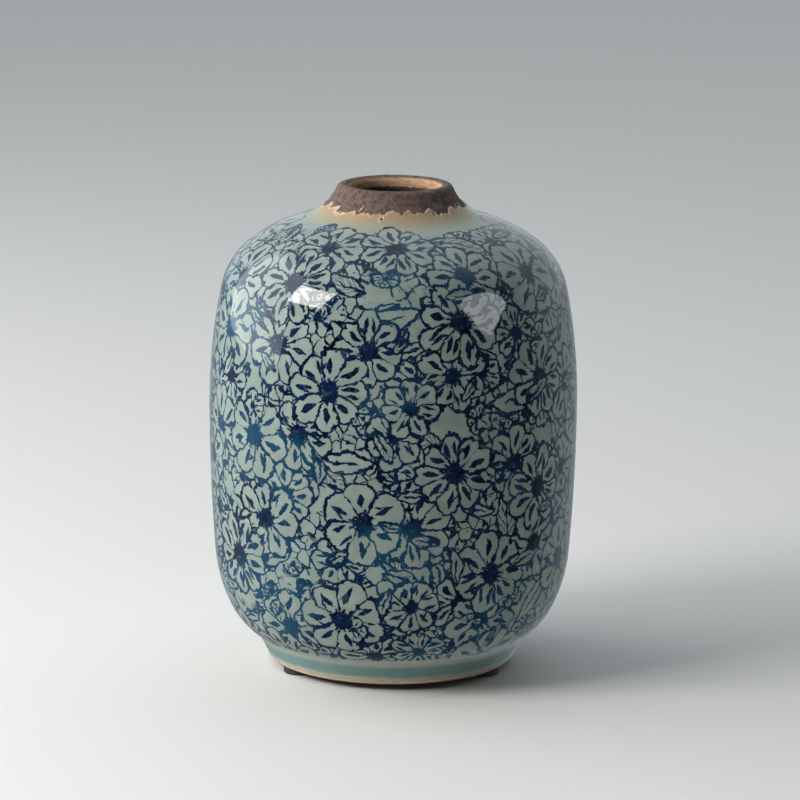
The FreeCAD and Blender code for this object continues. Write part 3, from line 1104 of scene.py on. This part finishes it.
@dataclass(frozen=True)
class PrintedGlaze:
    """Glossy grey-green glaze over a dark blue print: cream where thin, aqua where it pools.

    Heights are in millimetres, where a colour or the print starts and where it is full.
    Depths are the same for the distance inside the glaze's edge.
    """

    celadon: Colour = (0.300, 0.360, 0.322)
    celadon_deep: Colour = (0.245, 0.305, 0.272)
    pale: Colour = (0.335, 0.335, 0.245)
    tan: Colour = (0.42, 0.295, 0.165)
    bead: Colour = (0.60, 0.44, 0.34)
    burnt: Colour = (0.20, 0.085, 0.045)
    aqua: Colour = (0.175, 0.285, 0.262)
    foot_pale: Colour = (0.40, 0.44, 0.38)
    ink_thin: Colour = (0.018, 0.090, 0.160)
    ink: Colour = (0.0030, 0.0160, 0.0550)
    ink_dense: Colour = (0.0006, 0.0030, 0.0150)
    pale_heights: tuple[float, float] = (201.6, 205.6)
    tan_heights: tuple[float, float] = (204.8, 208.0)
    neck_heights: tuple[float, float] = (100.0, 110.0)
    bead_depths: tuple[float, float] = (2.6, 0.7)
    burnt_depths: tuple[float, float] = (0.42, 0.12)
    haze_heights: tuple[float, float] = (17.5, 13.6)
    crackle_heights: tuple[float, float] = (18.0, 14.0)
    aqua_heights: tuple[float, float] = (13.2, 11.0)
    foot_heights: tuple[float, float] = (7.6, 5.8)
    print_low: tuple[float, float] = (17.0, 18.2)
    print_high: tuple[float, float] = (206.3, 205.3)
    ground_high: tuple[float, float] = (203.0, 200.0)
    ground_cell: float = 5.6
    crackle_cell: float = 6.5

    def made(self, layers: tuple[PrintLayer, ...]) -> Finish:
        """Return the finish.

        Args:
            layers: the print's layers, lowest first.

        Returns:
            The glaze's finish.
        """
        made = Finish("printed_glaze", Roughness=0.07, IOR=1.50)
        tree = made.tree
        spot = place_mm(tree)
        _, _, z = split(spot)
        ink = self.print_ink(tree, spot, z, layers)
        blotch = cloud(spot, 9.0, 3.0)
        colour = blend(blotch.ramp(0.35, 0.68), self.celadon_deep, self.celadon)
        edge = Term(self.attribute(tree, "glaze_edge").outputs["Fac"])
        colour = self.by_height(colour, spot, z, edge)
        depth = cloud(spot, 3.2, 3.0, 0.6)
        faint = cloud(spot, 42.0, 1.0).ramp(0.46, 0.62)
        dense = (depth + cloud(spot, 14.0, 1.0) * 0.6).ramp(0.72, 0.98) * (1 - faint)
        tone = blend(ink.ramp(0.25, 0.95) * (1 - 0.5 * faint), self.ink_thin, self.ink)
        tone = blend(dense * ink.ramp(0.6, 1.0), tone, self.ink_dense)
        colour = blend((ink * 1.15).least(1.0), colour, tone)
        made.paint("Base Color", colour)
        skin = cloud(spot, 11.0, 2.0) * 0.8 + cloud(spot, 2.4, 1.0) * 0.08
        made.relief(skin, 0.00022, 0.5)
        made.paint("Roughness", 0.03 + 0.03 * cloud(spot, 5.0, 2.0) + 0.14 * edge.ramp(1.2, 0.0))
        return made

    @staticmethod
    def attribute(tree: bpy.types.NodeTree, name: str) -> bpy.types.Node:
        """Return a node that reads one of the piece's own attributes."""
        node = tree.nodes.new("ShaderNodeAttribute")
        node.attribute_name = name
        return node

    def by_height(self, colour: Term, spot: Term, z: Term, edge: Term) -> Term:
        """Shade the glaze towards the neck's edge and the foot.

        Args:
            colour: the body's colour.
            spot: the place in millimetres.
            z: the height in millimetres.
            edge: how far inside the glaze's edge, in millimetres.

        Returns:
            The colour with both ends.
        """
        stray = cloud(spot, 6.0, 3.0) * 2.6 - 1.3
        colour = blend((z + stray).ramp(*self.pale_heights), colour, self.pale)
        colour = blend((z + stray).ramp(*self.tan_heights), colour, self.tan)
        bead = cloud(spot, 1.5, 2.0)
        near = edge.ramp(*self.bead_depths) * z.ramp(*self.neck_heights)
        colour = blend(near * bead.ramp(0.42, 0.60), colour, self.bead)
        burnt = edge.ramp(*self.burnt_depths) * z.ramp(*self.neck_heights)
        colour = blend(burnt, colour, self.burnt)
        drift = cloud(spot, 4.0, 2.0) * 1.6 - 0.8
        foot = z + drift
        colour = blend(foot.ramp(*self.haze_heights) * 0.75, colour, self.foot_pale)
        crackle = cells(spot, self.crackle_cell, "DISTANCE_TO_EDGE").ramp(0.022, 0.006)
        crackle = crackle * z.ramp(*self.crackle_heights)
        colour = blend(foot.ramp(*self.aqua_heights), colour, self.aqua)
        colour = blend(crackle * 0.22, colour, self.celadon_deep)
        colour = blend(foot.ramp(*self.foot_heights), colour, self.foot_pale)
        return colour

    def print_ink(
        self, tree: bpy.types.NodeTree, spot: Term, z: Term, layers: tuple[PrintLayer, ...]
    ) -> Term:
        """Lay the print's layers over a ground of small petal outlines.

        Args:
            tree: the material's nodes.
            spot: the place in millimetres.
            z: the height in millimetres.
            layers: lowest first.

        Returns:
            How much ink there is, from 0 to 1.
        """
        group = motif_group(MotifShape())
        slow, fine = cloud_pair(spot, 7.0), cloud_pair(spot, 1.7)
        waver_x, waver_y = (a * 4.2 + b * 1.3 - 2.75 for a, b in zip(slow, fine))
        pool = cloud(spot, 4.6, 2.0, 0.6).ramp(0.49, 0.68)
        width = 0.58 + 0.70 * cloud(spot, 1.9, 2.0) + 1.8 * pool
        fleck = cloud(spot, 1.3, 2.0, 0.6)
        speck = cells(spot, 1.9).ramp(0.30, 0.16) * fleck.ramp(0.42, 0.52)
        x, y, _ = split(spot)
        strayed = joined(tree, x + waver_x, y - waver_x, z + waver_y * 1.5)
        border = cells(strayed, self.ground_cell, "DISTANCE_TO_EDGE") * self.ground_cell
        here = cloud(spot, 12.0, 1.0).ramp(0.42, 0.48) * z.ramp(*self.ground_high)
        ink = border.ramp(width * 0.34 + 0.14, width * 0.34 - 0.14) * here
        ink = ink.most(cells(strayed, self.ground_cell).ramp(0.15, 0.07) * here)
        for layer in layers:
            place = self.attribute(tree, layer.name)
            drawn = group.placed(
                tree,
                **{
                    "Place": Term(place.outputs["Vector"]),
                    "Reach": Term(place.outputs["Alpha"]),
                    "Waver X": waver_x,
                    "Waver Y": waver_y,
                    "Width": width,
                    "Fleck": fleck,
                    "Speck": speck,
                },
            )
            ink = (ink * (1 - drawn["Cover"])).most(drawn["Ink"])
        patchy = 0.80 + 0.35 * cloud(spot, 2.6, 2.0).ramp(0.32, 0.58)
        limit = (z + cloud(spot, 3.0, 2.0) * 3.0).ramp(*self.print_low) * z.ramp(*self.print_high)
        return (ink * patchy * limit).least(1.0)


@dataclass
class OuterGlaze:
    """The glaze coat outside: half a millimetre thick, with a ragged bead round the neck.

    bead and sunk are in millimetres. The other sizes are in metres: fine and coarse are the
    gaps between rows outside, the back_ ones between rows against the clay.
    """

    wall: VaseWall
    edge: RaggedEdge = field(default_factory=RaggedEdge)
    columns: int = 512
    sampled: float = 0.0001
    fine: float = 0.00038
    coarse: float = 0.0024
    fine_neck: float = 0.0045
    fine_foot: float = 0.0018
    neck_overlap: float = 0.0065
    foot_overlap: float = 0.0012
    bead: float = 0.24
    sunk: float = 0.40
    backing: float = 0.00005
    buried: float = 0.00050
    back_neck: float = 0.0020
    back_foot: float = 0.0012
    back_coarse: float = 0.011
    neck_zone: float = 0.006
    foot_zone: float = 0.018
    buried_below: float = 0.006
    touching: float = 2e-5
    ripple: float = 0.35

    def section(self, line: np.ndarray) -> np.ndarray:
        """Close the coat's section: up the outside, then back down the clay in fewer rows.

        Args:
            line: the outside's rows of radius, height and normal.

        Returns:
            Rows of radius and height, the first one again at the end.
        """
        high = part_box("outer_glaze")[1].z
        neck, foot = line[:, 1] > high - self.neck_zone, line[:, 1] < self.foot_zone
        gap = np.where(foot, self.back_foot, self.back_coarse)
        back = line[thinned(line, np.where(neck, self.back_neck, gap))][::-1]
        at_ends = (back[:, 1] > high - self.neck_zone) | (back[:, 1] < self.buried_below)
        depth = np.where(at_ends, self.buried, self.backing)
        inner = back[:, :2] - back[:, 2:] * depth[:, None]
        return np.vstack([line[:, :2], inner[1:-1], line[:1, :2]])

    def line(self) -> np.ndarray:
        """Return the clay's outside under the glaze, as rows of radius, height and normal."""
        low, high = (corner.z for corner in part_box("outer_glaze"))
        rows = self.wall.outside(self.sampled, self.wall.glaze)
        rows = rows[rows[:, 1] > low - self.foot_overlap]
        rows = rows[rows[:, 1] < high + self.neck_overlap]
        edges = (rows[:, 1] > high - self.fine_neck) | (rows[:, 1] < low + self.fine_foot)
        return rows[thinned(rows, np.where(edges, self.fine, self.coarse))]

    def build(self, daisies: DaisyPrint) -> bpy.types.Object:
        """Return the piece with its print laid on.

        Args:
            daisies: the print.

        Returns:
            The glaze.
        """
        line = self.line()
        piece = turned("printed_glaze", self.section(line), self.columns)
        points = points_of(piece)
        angle = np.arctan2(points[:, 1], points[:, 0])
        run = np.r_[0, np.cumsum(np.hypot(*np.diff(line[:, :2], axis=0).T))] / MM
        low, high = (corner.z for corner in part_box("outer_glaze"))
        along = np.interp(points[:, 2], line[:, 1], run)
        top, bottom = (np.interp(h, line[:, 1], run) for h in (high, low))
        neck = np.interp(high, line[:, 1], line[:, 0]) / MM
        inside = self.edge.inside(np.mod(angle, math.tau), along - top, neck)
        inside = np.minimum(inside, along - bottom + self.ripple * Ripple(9, 3, 60)(angle))
        radius, out, up = (np.interp(points[:, 2], line[:, 1], line[:, i]) for i in (0, 2, 3))
        away = np.hypot(points[:, 0], points[:, 1])
        outer = away > radius - self.touching
        thick = np.where(outer, self.thickness(inside) * MM, 0)
        normal = np.column_stack([points[:, :2] / away[:, None] * out[:, None], up])
        move_points(piece, thrown(points + normal * thick[:, None], ClayBody.uneven))
        made = piece.data.attributes.new("glaze_edge", "FLOAT", "POINT")
        made.data.foreach_set("value", np.clip(inside, -3, 12).astype(np.float32))
        coat = line.copy()
        coat[:, :2] += line[:, 2:] * self.wall.glaze
        coat[:, :2] /= MM
        daisies.lay_on(piece, coat)
        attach(piece, "root")
        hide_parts("outer_glaze")
        return piece

    def thickness(self, inside: np.ndarray) -> np.ndarray:
        """Return the coat's thickness in millimetres, less than 0 where it dips under bare clay."""
        full = self.wall.glaze / MM * (1 - np.exp(-np.maximum(inside, 0) / 0.45))
        rolled = self.bead * np.exp(-(((inside - 0.8) / 0.5) ** 2))
        dipped = -self.sunk * (1 - np.exp(np.minimum(inside, 0) / 0.22))
        return np.where(inside > 0, full + rolled, dipped + rolled)


# ---------------------------------------------------------------- liner, pads


@dataclass(frozen=True)
class LinerGlaze:
    """Dark brown liner glaze inside the vase."""

    brown: Colour = (0.030, 0.018, 0.012)
    amber: Colour = (0.085, 0.045, 0.022)

    def made(self) -> Finish:
        """Return the finish."""
        made = Finish("liner_glaze", Roughness=0.35)
        spot = place_mm(made.tree)
        pool = cloud(spot, 6.0, 3.0).ramp(0.4, 0.7)
        made.paint("Base Color", blend(pool, self.brown, self.amber))
        made.paint("Roughness", 0.25 + 0.3 * cloud(spot, 3.0, 2.0))
        made.relief(cloud(spot, 4.0, 2.0), 0.0002)
        return made


@dataclass(frozen=True)
class PadRubber:
    """Dull black rubber with fine dust on it."""

    black: Colour = (0.010, 0.0095, 0.009)
    dusty: Colour = (0.045, 0.040, 0.034)

    def made(self) -> Finish:
        """Return the finish."""
        made = Finish("pad_rubber", Roughness=0.6)
        spot = place_mm(made.tree)
        dust = cloud(spot, 1.2, 3.0, 0.65)
        made.paint("Base Color", blend(dust.ramp(0.50, 0.80), self.black, self.dusty))
        made.paint("Roughness", 0.5 + 0.35 * dust)
        made.relief(cloud(spot, 0.35, 2.0), 0.00008)
        return made


@dataclass(frozen=True)
class PadAdhesive:
    """The cloudy film that holds a pad to the foot."""

    clear: Colour = (0.42, 0.40, 0.34)
    cloudy: Colour = (0.62, 0.60, 0.54)

    def made(self) -> Finish:
        """Return the finish."""
        made = Finish("pad_adhesive", Roughness=0.45)
        spot = place_mm(made.tree)
        haze = cloud(spot, 0.9, 3.0).ramp(0.4, 0.65)
        made.paint("Base Color", blend(haze, self.clear, self.cloudy))
        made.relief(cloud(spot, 0.5, 2.0), 0.00005)
        return made


@dataclass(frozen=True)
class SolidParts:
    """The solids that keep their own shape and get a finish: the liner, the pads, the films."""

    sides: tuple[str, ...] = ("left", "right", "back")

    def dress(self) -> None:
        """Put the finishes on."""
        rubber, film = PadRubber().made(), PadAdhesive().made()
        jobs = [("inner_glaze", LinerGlaze().made(), "liner_glaze")]
        jobs += [(f"foot_pad_{side}", rubber, "pad_rubber") for side in self.sides]
        jobs += [(f"pad_adhesive_{side}", film, "pad_adhesive") for side in self.sides]
        for node, finish, slot in jobs:
            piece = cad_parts[node]
            finish.dress(piece)
            LOG.info("%s: dressed", node)


# ---------------------------------------------------------------- the studio


@dataclass(frozen=True)
class PaleFloor:
    """A plain pale painted floor."""

    white: Colour = (0.80, 0.775, 0.745)
    worn: Colour = (0.79, 0.765, 0.735)

    def made(self) -> Finish:
        """Return the finish."""
        made = Finish("pale_floor", Roughness=0.7)
        spot = place_mm(made.tree)
        made.paint("Base Color", blend(cloud(spot, 30.0, 3.0), self.worn, self.white))
        made.paint("Roughness", 0.6 + 0.2 * cloud(spot, 12.0, 3.0))
        return made


@dataclass(frozen=True)
class Studio:
    """The camera, the lights, the room and the floor, in metres, degrees and watts."""

    aim: tuple[float, float, float] = (0.0030, 0.0, 0.1202)
    distance: float = 1.995
    pitch: float = 12.13
    roll: float = -0.48
    lens: float = 199.84
    floor_size: float = 8.0
    key_at: tuple[float, float, float] = (-0.036, -0.066, 0.180)
    key_bearing: float = -64.0
    key_rise: float = 31.0
    key_distance: float = 1.35
    key_size: tuple[float, float] = (0.64, 0.55)
    key_power: float = 14.5
    gleam_power: float = 34.0
    side_bearing: float = -104.0
    side_rise: float = 22.0
    side_distance: float = 1.3
    side_size: tuple[float, float] = (1.5, 1.3)
    side_power: float = 12.0
    dim_bearing: float = 66.0
    dim_rise: float = 20.0
    dim_distance: float = 1.5
    dim_size: float = 0.85
    dim_power: float = 6.5
    key_tint: Colour = (1.0, 0.98, 0.95)
    side_tint: Colour = (0.95, 0.98, 1.0)
    dim_tint: Colour = (0.92, 0.96, 1.0)
    room_front: Colour = (0.05, 0.052, 0.055)
    room_behind: Colour = (0.60, 0.67, 0.71)
    room_low: float = 0.45

    def camera(self) -> None:
        """Make the camera and give it to the scene."""
        pitch, roll = math.radians(self.pitch), math.radians(self.roll)
        ahead = Vector((0, math.cos(pitch), -math.sin(pitch)))
        up = Vector((0, math.sin(pitch), math.cos(pitch)))
        right = Vector((1, 0, 0))
        rolled_right = right * math.cos(roll) - up * math.sin(roll)
        rolled_up = right * math.sin(roll) + up * math.cos(roll)
        data = bpy.data.cameras.new("camera")
        data.lens, data.sensor_width = self.lens, 36.0
        data.clip_start, data.clip_end = 0.05, 50.0
        made = bpy.data.objects.new("camera", data)
        bpy.context.scene.collection.objects.link(made)
        turn = Matrix((rolled_right, rolled_up, -ahead)).transposed()
        place = Matrix.Translation(Vector(self.aim) - ahead * self.distance)
        made.matrix_world = place @ turn.to_4x4()
        bpy.context.scene.camera = made

    @staticmethod
    def direction(bearing: float, rise: float) -> Vector:
        """Return the unit vector at a bearing from -Y towards +X and a rise above level."""
        turn, lift = math.radians(bearing), math.radians(rise)
        level = math.cos(lift)
        return Vector((math.sin(turn) * level, -math.cos(turn) * level, math.sin(lift)))

    def area_light(
        self,
        name: str,
        towards: Vector,
        distance: float,
        size: tuple[float, float],
        power: float,
        tint: Colour,
        shape: str = "RECTANGLE",
    ) -> bpy.types.Object:
        """Make an area light that faces the vase's shoulder.

        Args:
            name: the light's name.
            towards: from the shoulder to the light.
            distance: how far off it is.
            size: its width and height.
            power: in watts.
            tint: its colour.
            shape: RECTANGLE or ELLIPSE.

        Returns:
            The light.
        """
        data = bpy.data.lights.new(name, "AREA")
        data.shape, data.energy, data.color = shape, power, tint
        data.size, data.size_y = size
        made = bpy.data.objects.new(name, data)
        bpy.context.scene.collection.objects.link(made)
        made.matrix_world = Matrix.Translation(Vector(self.key_at) + towards * distance) @ (
            towards.to_track_quat("Z", "Y").to_matrix().to_4x4()
        )
        return made

    def lights(self) -> None:
        """Make the key light, the wide soft one at its side and the dim round one opposite.

        The gleam light stands where the key light does. It and the dim one show only in
        reflections and light nothing else.
        """
        key = self.direction(self.key_bearing, self.key_rise)
        side = self.direction(self.side_bearing, self.side_rise)
        dim = self.direction(self.dim_bearing, self.dim_rise)
        place = (key, self.key_distance, self.key_size)
        self.area_light("key_light", *place, self.key_power, self.key_tint)
        gleam = self.area_light("gleam_light", *place, self.gleam_power, self.key_tint)
        place = (side, self.side_distance, self.side_size)
        self.area_light("side_light", *place, self.side_power, self.side_tint)
        place = (dim, self.dim_distance, (self.dim_size,) * 2)
        round_one = self.area_light("dim_light", *place, self.dim_power, self.dim_tint, "ELLIPSE")
        gleam.visible_diffuse = round_one.visible_diffuse = False

    def surroundings(self) -> None:
        """Make the room's light: dim in front of the vase and below the horizon, pale behind."""
        world = bpy.data.worlds.new("studio")
        world.use_nodes = True
        bpy.context.scene.world = world
        tree = world.node_tree
        spot = tree.nodes.new("ShaderNodeTexCoord")
        x, y, z = split(Term(spot.outputs["Generated"]))
        behind = (y + z * 0.25 - x * 0.25).ramp(-0.35, 0.45)
        behind = behind * (self.room_low + (1 - self.room_low) * z.ramp(-0.10, 0.02))
        colour = blend(behind, self.room_front, self.room_behind)
        feed(tree.nodes["Background"].inputs["Color"], colour)

    def floor(self) -> None:
        """Lay the floor under the pads."""
        bpy.ops.object.select_all(action="DESELECT")
        bpy.ops.mesh.primitive_plane_add(size=self.floor_size, location=(0, 0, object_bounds()[0].z))
        floor = bpy.context.object
        floor.name = "floor"
        bpy.ops.object.transform_apply(location=True)
        PaleFloor().made().dress(floor)
        floor.visible_glossy = False
        floor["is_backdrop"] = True

    def set_up(self) -> None:
        """Make all of it."""
        self.camera()
        self.lights()
        self.surroundings()
        self.floor()
        bpy.context.scene.view_settings.view_transform = "Standard"


def write_sizes() -> None:
    """Bring the scene's placements up to date."""
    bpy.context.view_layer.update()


def main() -> None:
    """Build the vase's pieces in order, then the studio round them."""
    logging.basicConfig(level=logging.INFO, format="%(asctime)s %(name)s: %(message)s")
    wall = VaseWall()
    daisies = DaisyPrint()
    clay = ClayBody(wall).build()
    BareClay().made().dress(clay)
    LOG.info("clay: %d faces", len(clay.data.polygons))
    glaze = OuterGlaze(wall).build(daisies)
    PrintedGlaze().made(daisies.layers).dress(glaze)
    LOG.info("printed_glaze: %d faces", len(glaze.data.polygons))
    SolidParts().dress()
    write_sizes()
    Studio().set_up()


if __name__ == "__main__":
    main()
